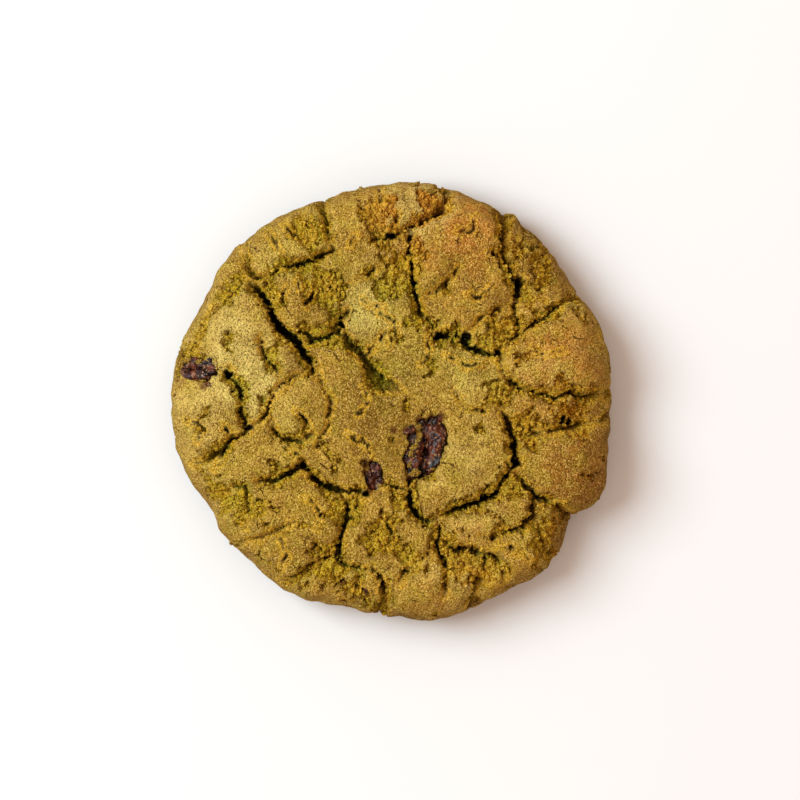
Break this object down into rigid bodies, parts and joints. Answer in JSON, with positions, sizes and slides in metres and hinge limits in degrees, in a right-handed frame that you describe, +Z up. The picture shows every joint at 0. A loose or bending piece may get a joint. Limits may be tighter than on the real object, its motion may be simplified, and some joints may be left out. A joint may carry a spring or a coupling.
{
  "type": "matcha cookie",
  "caption": "Thick soft-baked matcha cookie: a flat-based round of dough with a crust torn into puffed plates, and pieces of dried fruit showing in it.",
  "frame": {"origin": "middle of the flat base, on the surface that the cookie lies on", "axes": "+Z up out of the crust; +X to the right and +Y away from the viewer, as the cookie is seen from above"},
  "size_m": [0.088, 0.088, 0.0194],
  "materials": {
    "dough": "matt, grainy olive-brown baked dough, greener in the sunken middle",
    "dried_fruit": "shrivelled, sticky, dark purple-brown dried fruit with a soft gloss"
  },
  "bodies": {
    "root": {"cookie": "dough", "dried_fruit_middle": "dried_fruit", "dried_fruit_rim": "dried_fruit", "dried_fruit_small": "dried_fruit"}
  },
  "joints": []
}
